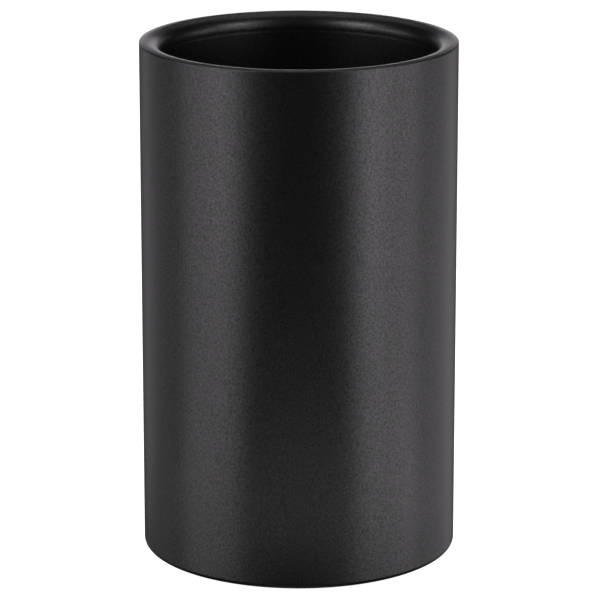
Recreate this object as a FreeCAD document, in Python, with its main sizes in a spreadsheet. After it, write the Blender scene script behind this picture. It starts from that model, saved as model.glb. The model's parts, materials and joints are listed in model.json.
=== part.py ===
import FreeCAD, Part
import os
import Sketcher

# A double-walled bottle cooler of powder-coated sheet steel. An outer tube and a liner tube stand one inside
# the other, a pressed ring joins them at the rim, a pressed dish closes the well and a pressed pan closes the
# base. The gap between the walls holds air.
# Millimetres, +Z up. The origin is on the table, at the centre of the foot pad's underside.

DIMENSIONS = [
    ("outer_diameter", 120.0, "across the outer wall"),
    ("well_diameter", 104.0, "inside the liner"),
    ("total_height", 198.0, "from the table to the top of the rim"),
    ("sheet_gauge", 0.6, "steel of every rolled and pressed piece"),
    ("weld_width", 1.4, "height of a butt weld between two sheets"),
    ("weld_root", 0.2, "how far a weld stands out on the hidden side"),
    ("rim_land", 2.4, "rim outside its roll"),
    ("rim_crown", 0.6, "level part of that land, beside the roll"),
    ("rim_fall", 0.25, "slope of the rest of the land, down to the outer wall"),
    ("rim_edge_chamfer", 0.3, "ground outer edge of the rim"),
    ("rim_skirt", 0.4, "straight part of the rim ring under its roll"),
    ("seam_groove", 0.1, "depth of the seam in the throat"),
    ("seam_line", 1.1, "deepest line of the throat's seam, above the seam's lower edge"),
    ("well_floor", 12.0, "well's floor above the table"),
    ("dish_bend", 10.0, "inside corner radius of the well's floor"),
    ("dish_skirt", 4.0, "straight part of the dish above its corner"),
    ("foot_proud", 0.8, "lift of the steel off the table"),
    ("pan_height", 8.0, "base pan, from its standing ring to its upper edge"),
    ("pan_corner", 2.0, "outside corner radius of the base pan"),
    ("press_bend", 0.3, "inside bend radius of the pan's steps"),
    ("recess_diameter", 96.0, "recess of the base pan that takes the foot pad"),
    ("dimple_diameter", 16.0, "raised middle of the base pan"),
    ("dimple_rise", 1.8, "rise of the middle above the recess"),
    ("vent_diameter", 6.0, "vent hole in the middle of the base pan"),
    ("plug_head_diameter", 10.0, "plug's head, under the pan"),
    ("plug_head_height", 1.2, "thickness of the plug's head"),
    ("plug_barb_diameter", 8.0, "plug's barb, above the pan"),
    ("plug_barb_height", 2.6, "height of the barb"),
    ("plug_tip_diameter", 4.8, "upper end of the barb"),
    ("pad_diameter", 92.0, "foot pad"),
    ("pad_thickness", 2.8, "foot pad"),
    ("pad_edge_radius", 0.4, "rounding of the pad's lower edge"),
    ("film_thickness", 0.2, "adhesive film between pad and pan"),
]

# Formulas of the driving dimensions, used by more than one piece.
GAUGE = "dims.sheet_gauge"
OUTSIDE = "dims.outer_diameter / 2"
OUTSIDE_BACK = "dims.outer_diameter / 2 - dims.sheet_gauge"
WELL = "dims.well_diameter / 2"
WELL_BACK = "dims.well_diameter / 2 + dims.sheet_gauge"
ROLL = "dims.outer_diameter / 2 - dims.well_diameter / 2 - dims.rim_land"
VENT = "dims.vent_diameter / 2"
PAD = "dims.pad_diameter / 2"
BASE_SEAM = "dims.foot_proud + dims.pan_height"
FLOOR_SEAM = "dims.well_floor + dims.dish_bend + dims.dish_skirt"
RIM_EDGE = "dims.total_height - dims.rim_fall - dims.sheet_gauge"
THROAT_SEAM = f"dims.total_height - ({ROLL}) - dims.rim_skirt - dims.weld_width"

doc = FreeCAD.newDocument("bottle_cooler")


def make_sheet():
    """The spreadsheet that holds the driving dimensions."""
    sheet = doc.addObject("Spreadsheet::Sheet", "dims")
    for row, (alias, size, note) in enumerate(DIMENSIONS, start=1):
        sheet.set(f"A{row}", alias)
        sheet.set(f"B{row}", str(size))
        sheet.setAlias(f"B{row}", alias)
        sheet.set(f"C{row}", note)
    doc.recompute()
    return sheet


dims = make_sheet()


def number(formula):
    """What a formula of the driving dimensions comes to."""
    return float(dims.evalExpression(formula))


def bind(sketch, kind, target, formula):
    """Add a size to the sketch and drive it by the formula."""
    index = sketch.addConstraint(Sketcher.Constraint(kind, *target, number(formula)))
    sketch.setExpression(f"Constraints[{index}]", formula)


def draw_half_section(body, corners):
    """Draw a closed half section, to be turned about the upright axis.

    Each corner is (distance from the axis, height, bend): two formulas, then the formula of the rounding of a
    square corner, or None where the corner is sharp.
    """
    sketch = body.newObject("Sketcher::SketchObject", "half_section")
    plane = next(item for item in body.Origin.OriginFeatures if item.Role == "XZ_Plane")
    sketch.AttachmentSupport = [(plane, "")]
    sketch.MapMode = "FlatFace"

    points = [FreeCAD.Vector(number(out), number(up), 0) for out, up, bend in corners]
    side_starts = []
    side_ends = []
    for index, corner in enumerate(points):
        bend = corners[index][2]
        setback = number(bend) if bend else 0.0
        to_last = (points[index - 1] - corner).normalize()
        to_next = (points[(index + 1) % len(points)] - corner).normalize()
        side_ends.append(corner + to_last * setback)
        side_starts.append(corner + to_next * setback)

    sides = []
    for index in range(len(corners)):
        side_end = side_ends[(index + 1) % len(corners)]
        sides.append(sketch.addGeometry(Part.LineSegment(side_starts[index], side_end)))

    for index, (out, up, bend) in enumerate(corners):
        arriving = (sides[index - 1], 2)
        leaving = (sides[index], 1)
        if bend is None:
            sketch.addConstraint(Sketcher.Constraint("Coincident", *arriving, *leaving))
            place_point(sketch, leaving, out, up)
        else:
            ends = (points[index], side_ends[index], side_starts[index])
            add_bend(sketch, arriving, leaving, ends, corners[index])
    return sketch


def place_point(sketch, point, out, up):
    """Fix a point of the sketch at a distance from the axis and a height."""
    if number(out) == 0:
        sketch.addConstraint(Sketcher.Constraint("PointOnObject", *point, -2))
    else:
        bind(sketch, "DistanceX", (-1, 1, *point), out)
    if number(up) == 0:
        sketch.addConstraint(Sketcher.Constraint("PointOnObject", *point, -1))
    else:
        bind(sketch, "DistanceY", (-1, 1, *point), up)


def add_bend(sketch, arriving, leaving, ends, formulas):
    """Round a square corner with an arc that runs smoothly into both sides."""
    corner, arc_start, arc_end = ends
    out, up, bend = formulas
    radius = number(bend)
    centre = arc_start + arc_end - corner
    middle = centre + (corner - centre).normalize() * radius
    arc = sketch.addGeometry(Part.Arc(arc_start, middle, arc_end))
    # An arc always runs anticlockwise from its start, so its two ends are told apart by where they lie.
    starts_here = sketch.getPoint(arc, 1).distanceToPoint(arc_start) < radius / 10
    first_end, last_end = (1, 2) if starts_here else (2, 1)
    sketch.addConstraint(Sketcher.Constraint("Tangent", *arriving, arc, first_end))
    sketch.addConstraint(Sketcher.Constraint("Tangent", arc, last_end, *leaving))
    bind(sketch, "Radius", (arc,), bend)
    out_sign = "+" if centre.x > corner.x else "-"
    up_sign = "+" if centre.y > corner.y else "-"
    place_point(sketch, (arc, 3), f"{out} {out_sign} ({bend})", f"{up} {up_sign} ({bend})")


def turn_piece(label, lift, corners):
    """A piece of its own: its half section turned a full turn, then lifted to its height."""
    body = doc.addObject("PartDesign::Body", label)
    body.Label = label
    doc.recompute()
    sketch = draw_half_section(body, corners)
    doc.recompute()
    if not sketch.FullyConstrained:
        raise RuntimeError(f"{label}: the half section isn't fully constrained")
    turned = body.newObject("PartDesign::Revolution", "turned")
    turned.Profile = sketch
    turned.ReferenceAxis = (sketch, ["V_Axis"])
    turned.Angle = 360
    sketch.Visibility = False
    body.setExpression(".Placement.Base.z", lift)
    doc.recompute()
    return body


def tube(label, lift, inside, outside, height):
    """A plain tube."""
    corners = [(inside, "0", None), (outside, "0", None), (outside, height, None), (inside, height, None)]
    return turn_piece(label, lift, corners)


def butt_weld(label, lift, face, back, root, grooved=False):
    """A weld ring between two edges of sheet: flush or grooved on its face, with a raised root behind."""
    middle = "dims.weld_width / 2"
    corners = [
        (face, "0", None),
        (back, "0", None),
        (root, middle, None),
        (back, "dims.weld_width", None),
        (face, "dims.weld_width", None),
    ]
    if grooved:
        corners.append((f"{face} + dims.seam_groove", "dims.seam_line", None))
    return turn_piece(label, lift, corners)


def foot_pad():
    """Soft disc that the cooler stands on."""
    corners = [
        ("0", "0", None),
        (PAD, "0", "dims.pad_edge_radius"),
        (PAD, "dims.pad_thickness", None),
        ("0", "dims.pad_thickness", None),
    ]
    return turn_piece("foot_pad", "0", corners)


def foot_pad_adhesive():
    """Film that holds the pad up in the recess of the pan."""
    corners = [
        ("0", "0", None),
        (PAD, "0", None),
        (PAD, "dims.film_thickness", None),
        ("0", "dims.film_thickness", None),
    ]
    return turn_piece("foot_pad_adhesive", "dims.pad_thickness", corners)


def base_pan():
    """Pressed closing pan: skirt, standing ring, recess for the pad, and a raised middle with the vent."""
    recess_top = "dims.pad_thickness + dims.film_thickness - dims.foot_proud"
    recess = "dims.recess_diameter / 2"
    recess_back = "dims.recess_diameter / 2 + dims.sheet_gauge"
    dimple = "dims.dimple_diameter / 2"
    dimple_back = "dims.dimple_diameter / 2 + dims.sheet_gauge"
    dimple_top = f"{recess_top} + dims.dimple_rise"
    inner_bend = "dims.press_bend"
    outer_bend = "dims.press_bend + dims.sheet_gauge"
    corners = [
        (OUTSIDE, "dims.pan_height", None),
        (OUTSIDE, "0", "dims.pan_corner"),
        (recess, "0", outer_bend),
        (recess, recess_top, inner_bend),
        (dimple, recess_top, outer_bend),
        (dimple, dimple_top, inner_bend),
        (VENT, dimple_top, None),
        (VENT, f"{dimple_top} + {GAUGE}", None),
        (dimple_back, f"{dimple_top} + {GAUGE}", outer_bend),
        (dimple_back, f"{recess_top} + {GAUGE}", inner_bend),
        (recess_back, f"{recess_top} + {GAUGE}", outer_bend),
        (recess_back, GAUGE, inner_bend),
        (OUTSIDE_BACK, GAUGE, "dims.pan_corner - dims.sheet_gauge"),
        (OUTSIDE_BACK, "dims.pan_height", None),
    ]
    return turn_piece("base_pan", "dims.foot_proud", corners)


def vent_plug():
    """Push-in plug that seals the vent: a head below the sheet, a stem in the hole and a barb above."""
    head = "dims.plug_head_diameter / 2"
    barb = "dims.plug_barb_diameter / 2"
    stem_top = "dims.plug_head_height + dims.sheet_gauge"
    top = f"{stem_top} + dims.plug_barb_height"
    corners = [
        ("0", "0", None),
        (head, "0", None),
        (head, "dims.plug_head_height", None),
        (VENT, "dims.plug_head_height", None),
        (VENT, stem_top, None),
        (barb, stem_top, None),
        ("dims.plug_tip_diameter / 2", top, None),
        ("0", top, None),
    ]
    lift = "dims.pad_thickness + dims.film_thickness + dims.dimple_rise - dims.plug_head_height"
    return turn_piece("vent_plug", lift, corners)


def rim_ring():
    """Pressed ring that joins the walls: a land that falls outwards, a roll into the well, and a skirt."""
    top = f"dims.rim_skirt + ({ROLL})"
    crown = f"{WELL} + ({ROLL}) + dims.rim_crown"
    corners = [
        (WELL, "0", None),
        (WELL, top, ROLL),
        (crown, top, None),
        (OUTSIDE_BACK, f"{top} - dims.rim_fall", None),
        (OUTSIDE_BACK, f"{top} - dims.rim_fall - {GAUGE}", None),
        (crown, f"{top} - {GAUGE}", None),
        (WELL_BACK, f"{top} - {GAUGE}", f"{ROLL} - {GAUGE}"),
        (WELL_BACK, "0", None),
    ]
    return turn_piece("rim_ring", f"dims.total_height - ({ROLL}) - dims.rim_skirt", corners)


def rim_weld_outer():
    """Corner weld between the rim ring's edge and the outer wall's edge, its sharp edge ground off."""
    corners = [
        (OUTSIDE_BACK, "0", None),
        (OUTSIDE, "0", None),
        (OUTSIDE, f"{GAUGE} - dims.rim_edge_chamfer", None),
        (f"{OUTSIDE} - dims.rim_edge_chamfer", GAUGE, None),
        (OUTSIDE_BACK, GAUGE, None),
    ]
    return turn_piece("rim_weld_outer", RIM_EDGE, corners)


def liner_floor():
    """Pressed dish that closes the well."""
    height = "dims.sheet_gauge + dims.dish_bend + dims.dish_skirt"
    corners = [
        ("0", "0", None),
        (WELL_BACK, "0", f"dims.dish_bend + {GAUGE}"),
        (WELL_BACK, height, None),
        (WELL, height, None),
        (WELL, GAUGE, "dims.dish_bend"),
        ("0", GAUGE, None),
    ]
    return turn_piece("liner_floor", f"dims.well_floor - {GAUGE}", corners)


def make_pieces():
    """Every piece of the cooler, from the table up and then down into the well."""
    wall_foot = f"{BASE_SEAM} + dims.weld_width"
    liner_foot = f"{FLOOR_SEAM} + dims.weld_width"
    return [
        foot_pad(),
        foot_pad_adhesive(),
        base_pan(),
        vent_plug(),
        butt_weld("base_weld", BASE_SEAM, OUTSIDE, OUTSIDE_BACK, f"{OUTSIDE_BACK} - dims.weld_root"),
        tube("outer_wall", wall_foot, OUTSIDE_BACK, OUTSIDE, f"{RIM_EDGE} - ({wall_foot})"),
        rim_weld_outer(),
        rim_ring(),
        butt_weld("rim_weld_inner", THROAT_SEAM, WELL, WELL_BACK, f"{WELL_BACK} + dims.weld_root", True),
        tube("inner_wall", liner_foot, WELL, WELL_BACK, f"{THROAT_SEAM} - ({liner_foot})"),
        butt_weld("liner_floor_weld", FLOOR_SEAM, WELL, WELL_BACK, f"{WELL_BACK} + dims.weld_root"),
        liner_floor(),
    ]


def check_document(pieces):
    """Stop if any object failed or any piece isn't one sound solid."""
    for item in doc.Objects:
        if "Invalid" in item.State or "Error" in item.State:
            raise RuntimeError(f"{item.Label}: {item.State}")
    for piece in pieces:
        shape = piece.Shape
        if shape.isNull() or not shape.isValid() or len(shape.Solids) != 1:
            raise RuntimeError(f"{piece.Label}: not one sound solid")


def write_steps(pieces):
    """Write each piece to its own file."""
    os.makedirs("parts", exist_ok=True)
    for piece in pieces:
        piece.Shape.exportStep(f"parts/{piece.Label}.step")
        box = piece.Shape.optimalBoundingBox()
        span = f"z {box.ZMin:.2f} to {box.ZMax:.2f}, radius {box.XMax:.2f}"
        print(f"{piece.Label}: {piece.Shape.Volume:.1f} mm3, {span}")


doc.recompute()
pieces = make_pieces()
doc.recompute()
check_document(pieces)
write_steps(pieces)
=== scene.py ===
"""A double-walled bottle cooler of black powder-coated steel: turned pieces, finishes and a studio stage."""

import json
import math

import bmesh
import bpy
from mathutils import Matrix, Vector


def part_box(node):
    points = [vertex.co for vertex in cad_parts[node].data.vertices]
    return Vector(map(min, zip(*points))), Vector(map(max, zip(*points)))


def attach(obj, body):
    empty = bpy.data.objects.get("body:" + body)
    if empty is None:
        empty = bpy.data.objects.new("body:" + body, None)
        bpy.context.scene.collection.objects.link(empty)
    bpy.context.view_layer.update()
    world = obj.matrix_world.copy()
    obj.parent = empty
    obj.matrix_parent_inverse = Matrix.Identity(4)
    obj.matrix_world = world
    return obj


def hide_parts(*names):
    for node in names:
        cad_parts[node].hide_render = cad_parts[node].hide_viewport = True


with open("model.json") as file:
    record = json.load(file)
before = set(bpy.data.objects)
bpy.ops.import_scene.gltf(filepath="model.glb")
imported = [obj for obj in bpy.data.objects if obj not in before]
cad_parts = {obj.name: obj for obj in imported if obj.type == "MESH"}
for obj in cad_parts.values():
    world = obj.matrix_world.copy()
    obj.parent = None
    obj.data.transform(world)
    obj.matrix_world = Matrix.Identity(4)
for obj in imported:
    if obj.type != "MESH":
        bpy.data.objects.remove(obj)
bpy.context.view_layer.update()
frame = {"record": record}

bl_info = {
    "name": "Double-walled bottle cooler",
    "version": (1, 0, 0),
    "blender": (4, 5, 0),
    "location": "View3D > Sidebar > Bottle Cooler",
    "description": "Builds a powder-coated double-walled bottle cooler and a studio stage",
    "category": "Add Mesh",
}

MM = 0.001
ON_AXIS = 1e-7        # a point nearer to the axis than this lies on it
SAME_PLACE = 1e-6     # points nearer together than this are merged
SHARP_EDGE = math.radians(30)
TABLE_LIGHT_HEIGHT = -5 * MM
WHITE = (1.0, 1.0, 1.0)


# ---------------------------------------------------------------------------------------------------------
# Places, read from the frame
# ---------------------------------------------------------------------------------------------------------

def reach(node):
    """How far a node of the frame reaches from the upright axis."""
    low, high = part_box(node)
    return max(high.x, high.y, -low.x, -low.y)


def foot(node):
    """The lowest height of a node."""
    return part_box(node)[0].z


def head(node):
    """The highest height of a node."""
    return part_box(node)[1].z


def well_radius():
    """The radius of the well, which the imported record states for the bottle."""
    mounts = {mount["name"]: mount for mount in frame["record"]["mounts"]}
    return mounts["bottle_well"]["dims"]["r_mm"] * MM


OUTSIDE = reach("outer_wall")
WELL = well_radius()
GAUGE = head("rim_weld_outer") - foot("rim_weld_outer")
OUTSIDE_BACK = OUTSIDE - GAUGE
WELL_BACK = WELL + GAUGE
TOP = head("rim_ring")


# ---------------------------------------------------------------------------------------------------------
# What a user may change
# ---------------------------------------------------------------------------------------------------------

def length(name, description, default):
    """A length that a user may change."""
    return bpy.props.FloatProperty(
        name=name, description=description, default=default, min=0.0, precision=5,
        subtype="DISTANCE", unit="LENGTH",
    )


def share(name, description, default):
    """A number from 0 to 1 that a user may change."""
    return bpy.props.FloatProperty(
        name=name, description=description, default=default, min=0.0, max=1.0, subtype="FACTOR"
    )


def colour(name, description, default):
    """A colour that a user may change."""
    return bpy.props.FloatVectorProperty(
        name=name, description=description, default=default, min=0.0, max=1.0, size=3, subtype="COLOR"
    )


class CoolerShape(bpy.types.PropertyGroup):
    """Small sizes that the boxes of the frame's nodes don't give."""

    turning_steps: bpy.props.IntProperty(
        name="Turning steps", description="Steps of a full turn of every round piece",
        default=192, min=48, max=512,
    )
    arc_step: length("Arc step", "Length of one step along a rounding", 0.4 * MM)
    rim_land: length("Rim land", "Rim outside its roll", 2.4 * MM)
    rim_crown: length("Rim crown", "Level part of that land, beside the roll", 0.6 * MM)
    rim_edge: length("Rim edge", "Radius of the rim's ground outer edge", 0.5 * MM)
    seam_groove: length("Throat seam groove", "Depth of the seam in the throat", 0.1 * MM)
    seam_line: length("Throat seam line", "Deepest line of that seam, above its lower edge", 1.1 * MM)
    weld_root: length("Weld root", "How far a weld stands out on its hidden side", 0.2 * MM)
    dish_bend: length("Well corner", "Inside corner radius of the well's floor", 10.0 * MM)
    pan_corner: length("Base corner", "Outside corner radius of the base pan", 2.0 * MM)
    press_bend: length("Press bend", "Inside bend radius of the base pan's steps", 0.3 * MM)
    recess: length("Recess radius", "Recess of the base pan that takes the foot pad", 48.0 * MM)
    dimple: length("Dimple radius", "Raised middle of the base pan", 8.0 * MM)
    vent: length("Vent radius", "Vent hole in the middle of the base pan", 3.0 * MM)
    plug_head: length("Plug head", "Height of the plug's head under the pan", 1.2 * MM)
    plug_barb: length("Plug barb radius", "Widest part of the plug above the pan", 4.0 * MM)
    plug_tip: length("Plug tip radius", "Upper end of the plug", 2.4 * MM)
    pad_edge: length("Pad edge", "Rounding of the foot pad's lower edge", 0.4 * MM)


class CoolerFinish(bpy.types.PropertyGroup):
    """Colours and grains of the finishes."""

    coat_colour: colour("Coat colour", "Powder coat", (0.0034, 0.0034, 0.0036))
    coat_roughness: share("Coat roughness", "Powder coat", 0.37)
    coat_grain: length("Coat grain", "Width of a grain of the powder coat", 0.75 * MM)
    coat_grain_depth: length("Coat grain depth", "Height of the powder coat's grain", 0.05 * MM)
    coat_gloss: share("Coat gloss", "How strongly the powder coat mirrors light", 0.62)
    coat_speckle: share("Coat speckle", "How much the powder coat's sheen changes from grain to grain", 0.6)
    pad_colour: colour("Pad colour", "Non-slip rubber of the foot pad", (0.014, 0.014, 0.014))
    plug_colour: colour("Plug colour", "Silicone of the vent plug", (0.24, 0.24, 0.23))
    film_colour: colour("Film colour", "Adhesive film under the foot pad", (0.50, 0.46, 0.36))


class CoolerStage(bpy.types.PropertyGroup):
    """Camera and studio."""

    camera_distance: length("Camera distance", "From the cooler's axis, along the table", 1.308)
    camera_height: length("Camera height", "Above the table", 0.455)
    aim_height: length("Aim height", "Where the camera looks at the axis", 0.0966)
    aim_aside: length("Aim aside", "How far to the right of the axis the camera looks", 0.0004)
    lens: bpy.props.FloatProperty(
        name="Lens", description="Focal length in millimetres", default=212.8, min=20.0
    )
    light_colour: colour("Light colour", "Every light panel", (1.0, 0.955, 1.0))
    floor_width: length("Floor width", "Side of the square floor", 12.0)
    floor_gap: length("Floor gap", "How far the floor lies under the foot pad", 0.2 * MM)
    floor_colour: colour("Floor colour", "Pale studio floor", (0.86, 0.86, 0.86))
    floor_glow: share("Floor glow", "How far the floor is lit evenly from below", 0.98)
    backdrop_colour: colour("Backdrop colour", "What the camera sees beyond the floor", WHITE)
    fill: share("Fill", "Strength of the dim even light from all round", 0.015)


# ---------------------------------------------------------------------------------------------------------
# Turned pieces
# ---------------------------------------------------------------------------------------------------------

def draw_half_section(mesh, corners, arc_step):
    """Draw a closed half section with its corners rounded, and leave only its outline.

    Each corner is (distance from the axis, height, rounding). A side that lies on the axis is left out.
    """
    outline = [mesh.verts.new((out, 0.0, up)) for out, up, rounding in corners]
    mesh.faces.new(outline)
    for vertex, (out, up, rounding) in zip(outline, corners):
        if rounding > 0.0:
            quarter = rounding * math.pi / 2
            segments = max(4, min(24, round(quarter / arc_step)))
            bmesh.ops.bevel(
                mesh, geom=[vertex], offset=rounding, offset_type="OFFSET", segments=segments, profile=0.5,
                affect="VERTICES", material=-1, clamp_overlap=False,
            )
    bmesh.ops.delete(mesh, geom=mesh.faces[:], context="FACES_ONLY")
    on_axis = [edge for edge in mesh.edges if all(vertex.co.x < ON_AXIS for vertex in edge.verts)]
    bmesh.ops.delete(mesh, geom=on_axis, context="EDGES")


def turn_piece(name, node, corners, material):
    """A round piece, turned from its half section, that stands for one node of the frame."""
    shape = bpy.context.scene.cooler_shape
    mesh = bmesh.new()
    draw_half_section(mesh, corners, shape.arc_step)
    bmesh.ops.spin(
        mesh, geom=mesh.verts[:] + mesh.edges[:], cent=(0, 0, 0), axis=(0, 0, 1), dvec=(0, 0, 0),
        angle=math.tau, steps=shape.turning_steps, use_merge=True, use_normal_flip=False, use_duplicate=False,
    )
    bmesh.ops.remove_doubles(mesh, verts=mesh.verts[:], dist=SAME_PLACE)
    bmesh.ops.recalc_face_normals(mesh, faces=mesh.faces[:])
    data = bpy.data.meshes.new(name)
    mesh.to_mesh(data)
    mesh.free()
    data.shade_smooth()
    data.set_sharp_from_angle(angle=SHARP_EDGE)
    data.materials.append(material)

    piece = bpy.data.objects.new(name, data)
    bpy.context.scene.collection.objects.link(piece)
    even = piece.modifiers.new("even_normals", "WEIGHTED_NORMAL")
    even.mode = "FACE_AREA"
    even.keep_sharp = True
    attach(piece, "root")
    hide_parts(node)


def weld_section(node, face, back, root):
    """Half section of a weld ring: flush on its face, with a raised root behind."""
    low = foot(node)
    high = head(node)
    middle = (low + high) / 2
    return [(face, low, 0.0), (back, low, 0.0), (root, middle, 0.0), (back, high, 0.0), (face, high, 0.0)]


def tube_section(node, inside, outside):
    """Half section of a plain tube."""
    low = foot(node)
    high = head(node)
    return [(inside, low, 0.0), (outside, low, 0.0), (outside, high, 0.0), (inside, high, 0.0)]


# ---------------------------------------------------------------------------------------------------------
# Finishes
# ---------------------------------------------------------------------------------------------------------

class Wire:
    """A socket's output, so that sums and products in a finish read as sums and products."""

    def __init__(self, finish, socket):
        self.finish = finish
        self.socket = socket

    def combined(self, operation, first, second):
        return self.finish.node("ShaderNodeMath", {"operation": operation}, {0: first, 1: second})

    def __add__(self, other):
        return self.combined("ADD", self, other)

    def __radd__(self, other):
        return self.combined("ADD", other, self)

    def __mul__(self, other):
        return self.combined("MULTIPLY", self, other)

    def __rmul__(self, other):
        return self.combined("MULTIPLY", other, self)


class Finish:
    """A procedural material, put together node by node."""

    def __init__(self, name):
        self.material = bpy.data.materials.new(name)
        self.material.use_nodes = True
        self.tree = self.material.node_tree
        self.tree.nodes.clear()

    def node(self, kind, settings, sockets, output=0):
        """Add a node: its settings first, then the values or wires of its sockets. Gives back one output."""
        added = self.tree.nodes.new(kind)
        for key, value in settings.items():
            setattr(added, key, value)
        for key, value in sockets.items():
            if isinstance(value, Wire):
                self.tree.links.new(value.socket, added.inputs[key])
            else:
                added.inputs[key].default_value = value
        return None if output is None else Wire(self, added.outputs[output])

    def place(self):
        """Where on the piece, in metres from the cooler's origin."""
        return self.node("ShaderNodeTexCoord", {}, {}, "Object")

    def noise(self, width, detail=2.0, roughness=0.5):
        """Soft noise whose lumps are about width across, from 0 to 1."""
        sockets = {"Vector": self.place(), "Scale": 1.0 / width, "Detail": detail, "Roughness": roughness}
        return self.node("ShaderNodeTexNoise", {}, sockets)

    def blend(self, mask, first, second):
        """A colour between two colours."""
        return self.node("ShaderNodeMix", {"data_type": "RGBA"}, {0: mask, 6: first, 7: second}, 2)

    def spread(self, value, low, high):
        """Stretch the part of a value from low to high over 0 to 1."""
        sockets = {"Value": value, "From Min": low, "From Max": high, "To Min": 0.0, "To Max": 1.0}
        return self.node("ShaderNodeMapRange", {"clamp": True}, sockets)

    def bump(self, height, depth):
        """Surface relief of a height from 0 to 1 that stands for depth."""
        return self.node("ShaderNodeBump", {}, {"Strength": 1.0, "Distance": depth, "Height": height})

    def skin(self, sockets):
        """One surface shader, from the values or wires of its sockets."""
        return self.node("ShaderNodeBsdfPrincipled", {}, sockets)

    def close(self, surface):
        """Put a surface shader out, and hand over the finished material."""
        self.node("ShaderNodeOutputMaterial", {}, {"Surface": surface}, None)
        return self.material

    def done(self, sockets):
        """Close the finish with one surface shader."""
        return self.close(self.skin(sockets))


def opaque(shade, factor=1.0):
    """A colour with its alpha, brightened by factor."""
    return tuple(channel * factor for channel in shade) + (1.0,)


def powder_coat():
    """Fine-grained matt black powder coat."""
    name = "fine_powder_coat"
    made = bpy.data.materials.get(name)
    if made:
        return made
    choice = bpy.context.scene.cooler_finish
    finish = Finish(name)
    grain = finish.noise(choice.coat_grain, detail=3.0, roughness=0.6)
    flow = finish.noise(choice.coat_grain * 6, detail=1.0)
    cloud = finish.noise(choice.coat_grain * 40, detail=2.0)
    speck = finish.spread(grain, 0.32, 0.68)
    shade = speck * 0.8 + cloud * 0.2
    base = finish.blend(shade, opaque(choice.coat_colour, 0.5), opaque(choice.coat_colour, 1.6))
    return finish.done({
        "Base Color": base,
        "Metallic": speck * choice.coat_speckle,
        "Roughness": cloud * 0.04 + (choice.coat_roughness - 0.02),
        "Specular IOR Level": choice.coat_gloss,
        "Normal": finish.bump(grain * 0.8 + flow * 0.2, choice.coat_grain_depth),
    })


def pad_rubber():
    """Matt non-slip rubber with a fine stipple."""
    choice = bpy.context.scene.cooler_finish
    finish = Finish("stippled_rubber")
    stipple = finish.noise(0.7 * MM, detail=2.0)
    dust = finish.noise(9 * MM, detail=4.0)
    base = finish.blend(dust, opaque(choice.pad_colour, 0.8), opaque(choice.pad_colour, 1.5))
    return finish.done({
        "Base Color": base,
        "Roughness": dust * 0.12 + 0.76,
        "Normal": finish.bump(stipple, 0.06 * MM),
    })


def plug_silicone():
    """Soft grey silicone with a satin skin."""
    choice = bpy.context.scene.cooler_finish
    finish = Finish("plug_silicone")
    flow = finish.noise(1.6 * MM, detail=3.0)
    base = finish.blend(flow, opaque(choice.plug_colour, 0.9), opaque(choice.plug_colour, 1.1))
    return finish.done({
        "Base Color": base,
        "Roughness": flow * 0.12 + 0.42,
        "Normal": finish.bump(flow, 0.02 * MM),
    })


def film_adhesive():
    """Tissue-backed adhesive film."""
    choice = bpy.context.scene.cooler_finish
    finish = Finish("film_adhesive")
    fibre = finish.noise(0.9 * MM, detail=5.0, roughness=0.7)
    base = finish.blend(fibre, opaque(choice.film_colour, 0.85), opaque(choice.film_colour, 1.1))
    return finish.done({
        "Base Color": base,
        "Roughness": fibre * 0.2 + 0.35,
        "Normal": finish.bump(fibre, 0.02 * MM),
    })


# ---------------------------------------------------------------------------------------------------------
# The pieces
# ---------------------------------------------------------------------------------------------------------

class COOLER_OT_outer_shell(bpy.types.Operator):
    """Make the outer wall and the ground weld under it"""

    bl_idname = "cooler.outer_shell"
    bl_label = "Outer shell"

    def execute(self, context):
        shape = context.scene.cooler_shape
        coat = powder_coat()
        wall = tube_section("outer_wall", OUTSIDE_BACK, OUTSIDE)
        turn_piece("coated_outer_wall", "outer_wall", wall, coat)
        weld = weld_section("base_weld", OUTSIDE, OUTSIDE_BACK, OUTSIDE_BACK - shape.weld_root)
        turn_piece("coated_base_weld", "base_weld", weld, coat)
        return {"FINISHED"}


class COOLER_OT_rim(bpy.types.Operator):
    """Make the rim ring with its roll, its ground outer edge and the seam in the throat"""

    bl_idname = "cooler.rim"
    bl_label = "Rim"

    def execute(self, context):
        shape = context.scene.cooler_shape
        coat = powder_coat()
        low = foot("rim_ring")
        edge_low = foot("rim_weld_outer")
        edge_top = head("rim_weld_outer")
        roll = OUTSIDE - WELL - shape.rim_land
        crown = WELL + roll + shape.rim_crown
        ring = [
            (WELL, low, 0.0),
            (WELL, TOP, roll),
            (crown, TOP, 0.0),
            (OUTSIDE_BACK, edge_top, 0.0),
            (OUTSIDE_BACK, edge_low, 0.0),
            (crown, TOP - GAUGE, 0.0),
            (WELL_BACK, TOP - GAUGE, roll - GAUGE),
            (WELL_BACK, low, 0.0),
        ]
        turn_piece("coated_rim_ring", "rim_ring", ring, coat)

        edge = [
            (OUTSIDE_BACK, edge_low, 0.0),
            (OUTSIDE, edge_low, 0.0),
            (OUTSIDE, edge_top, shape.rim_edge),
            (OUTSIDE_BACK, edge_top, 0.0),
        ]
        turn_piece("coated_rim_edge", "rim_weld_outer", edge, coat)

        seam = weld_section("rim_weld_inner", WELL, WELL_BACK, WELL_BACK + shape.weld_root)
        seam.append((WELL + shape.seam_groove, foot("rim_weld_inner") + shape.seam_line, 0.0))
        turn_piece("coated_throat_seam", "rim_weld_inner", seam, coat)
        return {"FINISHED"}


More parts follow.
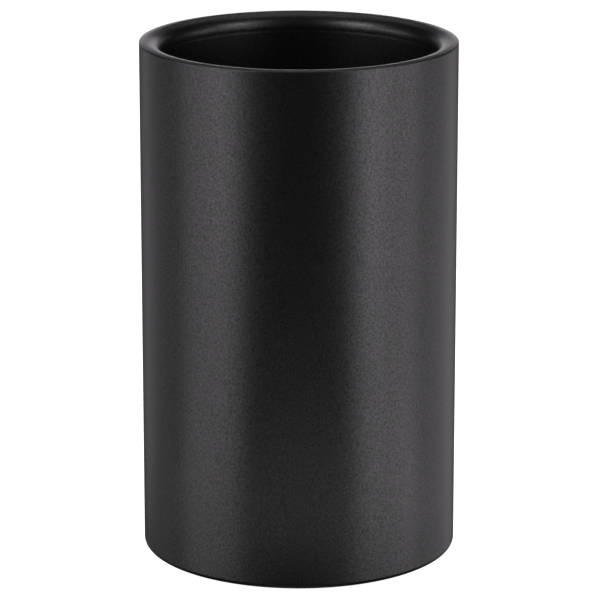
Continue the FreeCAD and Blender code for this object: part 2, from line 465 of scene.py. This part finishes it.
class COOLER_OT_liner(bpy.types.Operator):
    """Make the well: its wall, its floor and the seam between them"""

    bl_idname = "cooler.liner"
    bl_label = "Liner"

    def execute(self, context):
        shape = context.scene.cooler_shape
        coat = powder_coat()
        wall = tube_section("inner_wall", WELL, WELL_BACK)
        turn_piece("coated_liner_wall", "inner_wall", wall, coat)
        seam = weld_section("liner_floor_weld", WELL, WELL_BACK, WELL_BACK + shape.weld_root)
        turn_piece("coated_floor_seam", "liner_floor_weld", seam, coat)

        low = foot("liner_floor")
        high = head("liner_floor")
        dish = [
            (0.0, low, 0.0),
            (WELL_BACK, low, shape.dish_bend + GAUGE),
            (WELL_BACK, high, 0.0),
            (WELL, high, 0.0),
            (WELL, low + GAUGE, shape.dish_bend),
            (0.0, low + GAUGE, 0.0),
        ]
        turn_piece("coated_well_floor", "liner_floor", dish, coat)
        return {"FINISHED"}


class COOLER_OT_base(bpy.types.Operator):
    """Make the base pan and the plug of its vent"""

    bl_idname = "cooler.base"
    bl_label = "Base"

    def execute(self, context):
        shape = context.scene.cooler_shape
        low = foot("base_pan")
        high = head("base_pan")
        recess_top = head("foot_pad_adhesive")
        dimple_top = foot("vent_plug") + shape.plug_head
        inner = shape.press_bend
        outer = shape.press_bend + GAUGE
        pan = [
            (OUTSIDE, high, 0.0),
            (OUTSIDE, low, shape.pan_corner),
            (shape.recess, low, outer),
            (shape.recess, recess_top, inner),
            (shape.dimple, recess_top, outer),
            (shape.dimple, dimple_top, inner),
            (shape.vent, dimple_top, 0.0),
            (shape.vent, dimple_top + GAUGE, 0.0),
            (shape.dimple + GAUGE, dimple_top + GAUGE, outer),
            (shape.dimple + GAUGE, recess_top + GAUGE, inner),
            (shape.recess + GAUGE, recess_top + GAUGE, outer),
            (shape.recess + GAUGE, low + GAUGE, inner),
            (OUTSIDE_BACK, low + GAUGE, shape.pan_corner - GAUGE),
            (OUTSIDE_BACK, high, 0.0),
        ]
        turn_piece("coated_base_pan", "base_pan", pan, powder_coat())

        plug_low = foot("vent_plug")
        plug_high = head("vent_plug")
        stem_top = dimple_top + GAUGE
        soften = shape.press_bend
        plug = [
            (0.0, plug_low, 0.0),
            (reach("vent_plug"), plug_low, soften),
            (reach("vent_plug"), dimple_top, 0.0),
            (shape.vent, dimple_top, 0.0),
            (shape.vent, stem_top, 0.0),
            (shape.plug_barb, stem_top, 0.0),
            (shape.plug_tip, plug_high, 0.0),
            (0.0, plug_high, 0.0),
        ]
        turn_piece("silicone_vent_plug", "vent_plug", plug, plug_silicone())
        return {"FINISHED"}


class COOLER_OT_foot(bpy.types.Operator):
    """Make the non-slip pad and its adhesive film"""

    bl_idname = "cooler.foot"
    bl_label = "Foot"

    def execute(self, context):
        shape = context.scene.cooler_shape
        for name, node, rounding, material, slot in (
            ("rubber_foot_pad", "foot_pad", shape.pad_edge, pad_rubber(), "pad_rubber"),
            ("adhesive_film", "foot_pad_adhesive", 0.0, film_adhesive(), "adhesive_film"),
        ):
            low = foot(node)
            high = head(node)
            disc = [(0.0, low, 0.0), (reach(node), low, rounding), (reach(node), high, 0.0), (0.0, high, 0.0)]
            turn_piece(name, node, disc, material)
        return {"FINISHED"}


# ---------------------------------------------------------------------------------------------------------
# The stage
# ---------------------------------------------------------------------------------------------------------

def add_floor(stage):
    """Plain pale floor just under the foot pad, clear when it is looked at from below."""
    mesh = bmesh.new()
    bmesh.ops.create_grid(mesh, x_segments=1, y_segments=1, size=stage.floor_width / 2)
    bmesh.ops.translate(mesh, vec=(0, 0, -stage.floor_gap), verts=mesh.verts)
    data = bpy.data.meshes.new("floor")
    mesh.to_mesh(data)
    mesh.free()
    floor = bpy.data.objects.new("floor", data)
    bpy.context.scene.collection.objects.link(floor)
    finish = Finish("floor_paint")
    paint = finish.skin({
        "Base Color": opaque(stage.floor_colour),
        "Roughness": 0.9,
        "Emission Color": opaque(WHITE),
        "Emission Strength": stage.floor_glow,
    })
    clear = finish.node("ShaderNodeBsdfTransparent", {}, {})
    from_below = finish.node("ShaderNodeNewGeometry", {}, {}, "Backfacing")
    surface = finish.node("ShaderNodeMixShader", {}, {0: from_below, 1: paint, 2: clear})
    data.materials.append(finish.close(surface))
    floor.visible_diffuse = False
    floor.visible_glossy = False
    floor.visible_shadow = False


def add_panel(name, turn, tilt, distance, width, height, power, aim_height=0.1):
    """A soft light panel that faces the cooler: its turn is from the camera's side, its tilt from level."""
    data = bpy.data.lights.new(name, "AREA")
    data.shape = "RECTANGLE"
    data.size = width
    data.size_y = height
    data.energy = power
    data.color = bpy.context.scene.cooler_stage.light_colour
    panel = bpy.data.objects.new(name, data)
    bpy.context.scene.collection.objects.link(panel)
    turn = math.radians(turn)
    tilt = math.radians(tilt)
    away = Vector((math.sin(turn) * math.cos(tilt), -math.cos(turn) * math.cos(tilt), math.sin(tilt)))
    panel.location = away * distance + Vector((0, 0, aim_height))
    panel.rotation_euler = away.to_track_quat("Z", "Y").to_euler()
    panel.visible_camera = False
    return panel


def add_glow(name, turn, distance, width, power):
    """A small soft light in the table's top, which stands in for the light that a white table throws back."""
    glow = add_panel(name, turn, 0, distance, width, width, power, aim_height=TABLE_LIGHT_HEIGHT)
    glow.rotation_euler = (math.pi, 0, math.radians(turn))


def add_camera(stage):
    """The camera, level from side to side, looking down at the cooler."""
    data = bpy.data.cameras.new("camera")
    data.lens = stage.lens
    camera = bpy.data.objects.new("camera", data)
    bpy.context.scene.collection.objects.link(camera)
    camera.location = (0.0, -stage.camera_distance, stage.camera_height)
    target = Vector((stage.aim_aside, 0.0, stage.aim_height))
    camera.rotation_euler = (target - camera.location).to_track_quat("-Z", "Y").to_euler()
    bpy.context.scene.camera = camera


def add_sky(stage):
    """A pale backdrop for the camera, and a dim even fill for the surfaces."""
    world = bpy.data.worlds.new("studio")
    bpy.context.scene.world = world
    world.use_nodes = True
    tree = world.node_tree
    tree.nodes.clear()
    output = tree.nodes.new("ShaderNodeOutputWorld")
    fill = tree.nodes.new("ShaderNodeBackground")
    fill.inputs["Color"].default_value = opaque(WHITE)
    fill.inputs["Strength"].default_value = stage.fill
    backdrop = tree.nodes.new("ShaderNodeBackground")
    backdrop.inputs["Color"].default_value = opaque(stage.backdrop_colour)
    mix = tree.nodes.new("ShaderNodeMixShader")
    path = tree.nodes.new("ShaderNodeLightPath")
    tree.links.new(path.outputs["Is Camera Ray"], mix.inputs[0])
    tree.links.new(fill.outputs[0], mix.inputs[1])
    tree.links.new(backdrop.outputs[0], mix.inputs[2])
    tree.links.new(mix.outputs[0], output.inputs["Surface"])


class COOLER_OT_stage(bpy.types.Operator):
    """Set the floor, the light panels, the backdrop and the camera"""

    bl_idname = "cooler.stage"
    bl_label = "Stage"

    def execute(self, context):
        stage = context.scene.cooler_stage
        add_camera(stage)
        add_floor(stage)
        add_sky(stage)
        add_panel("left_front_panel", -54, 0, 1.0, 0.40, 0.70, 2.95)
        add_panel("left_side_panel", -78, -7, 1.0, 0.40, 0.70, 1.5)
        add_panel("right_front_panel", 53, 0, 1.0, 0.40, 0.70, 3.8)
        add_panel("right_side_panel", 82, -8, 1.0, 0.40, 0.70, 2.05)
        add_panel("left_upper_panel", -56, 36, 1.0, 0.40, 0.36, 3.9)
        add_panel("right_upper_panel", 56, 36, 1.0, 0.40, 0.36, 2.7)
        add_panel("left_side_upper_panel", -88, 14, 1.0, 0.40, 0.20, 1.0)
        add_panel("right_side_upper_panel", 90, 14, 1.0, 0.40, 0.20, 0.8)
        add_panel("left_back_panel", -112, -16, 1.0, 0.40, 0.50, 0.3)
        add_panel("right_back_panel", 112, -16, 1.0, 0.40, 0.50, 0.6)
        add_panel("left_far_panel", -138, -9, 1.0, 0.40, 0.50, 0.34)
        add_panel("right_far_panel", 138, -12, 1.0, 0.40, 0.50, 0.48)
        add_panel("back_left_panel", -160, 8, 1.0, 0.40, 0.24, 0.28)
        add_panel("back_panel", 180, 10, 1.0, 0.46, 0.22, 0.68)
        add_panel("back_right_panel", 160, 8, 1.0, 0.40, 0.24, 0.33)
        add_panel("back_high_panel", 180, 50, 1.0, 0.80, 0.30, 0.6)
        add_panel("top_panel", 180, 78, 1.0, 0.80, 0.40, 1.2)
        add_panel("under_panel", 0, -78, 1.0, 0.60, 0.60, 0.5)
        add_glow("left_glow", -58, 0.2, 0.16, 0.03)
        add_glow("middle_glow", 0, 0.2, 0.16, 0.065)
        add_glow("right_glow", 58, 0.2, 0.16, 0.055)
        add_glow("near_left_glow", -30, 0.12, 0.1, 0.004)
        add_glow("near_right_glow", 30, 0.12, 0.1, 0.005)
        context.scene.view_settings.view_transform = "Standard"
        return {"FINISHED"}


class COOLER_PT_panel(bpy.types.Panel):
    """Every step of the bottle cooler, with its settings"""

    bl_idname = "COOLER_PT_panel"
    bl_label = "Bottle Cooler"
    bl_space_type = "VIEW_3D"
    bl_region_type = "UI"
    bl_category = "Bottle Cooler"

    def draw(self, context):
        for group in ("cooler_shape", "cooler_finish", "cooler_stage"):
            settings = getattr(context.scene, group)
            box = self.layout.box()
            for key in settings.__annotations__:
                box.prop(settings, key)
        for step in STEPS:
            self.layout.operator(step.bl_idname)


STEPS = (
    COOLER_OT_outer_shell,
    COOLER_OT_rim,
    COOLER_OT_liner,
    COOLER_OT_base,
    COOLER_OT_foot,
    COOLER_OT_stage,
)
GROUPS = {"cooler_shape": CoolerShape, "cooler_finish": CoolerFinish, "cooler_stage": CoolerStage}
CLASSES = (*GROUPS.values(), *STEPS, COOLER_PT_panel)


def register():
    for item in CLASSES:
        bpy.utils.register_class(item)
    for name, group in GROUPS.items():
        setattr(bpy.types.Scene, name, bpy.props.PointerProperty(type=group))


def unregister():
    for name in GROUPS:
        delattr(bpy.types.Scene, name)
    for item in reversed(CLASSES):
        bpy.utils.unregister_class(item)


def main():
    """Build the cooler and its stage."""
    register()
    bpy.ops.cooler.outer_shell()
    bpy.ops.cooler.rim()
    bpy.ops.cooler.liner()
    bpy.ops.cooler.base()
    bpy.ops.cooler.foot()
    bpy.ops.cooler.stage()


if __name__ == "__main__":
    main()
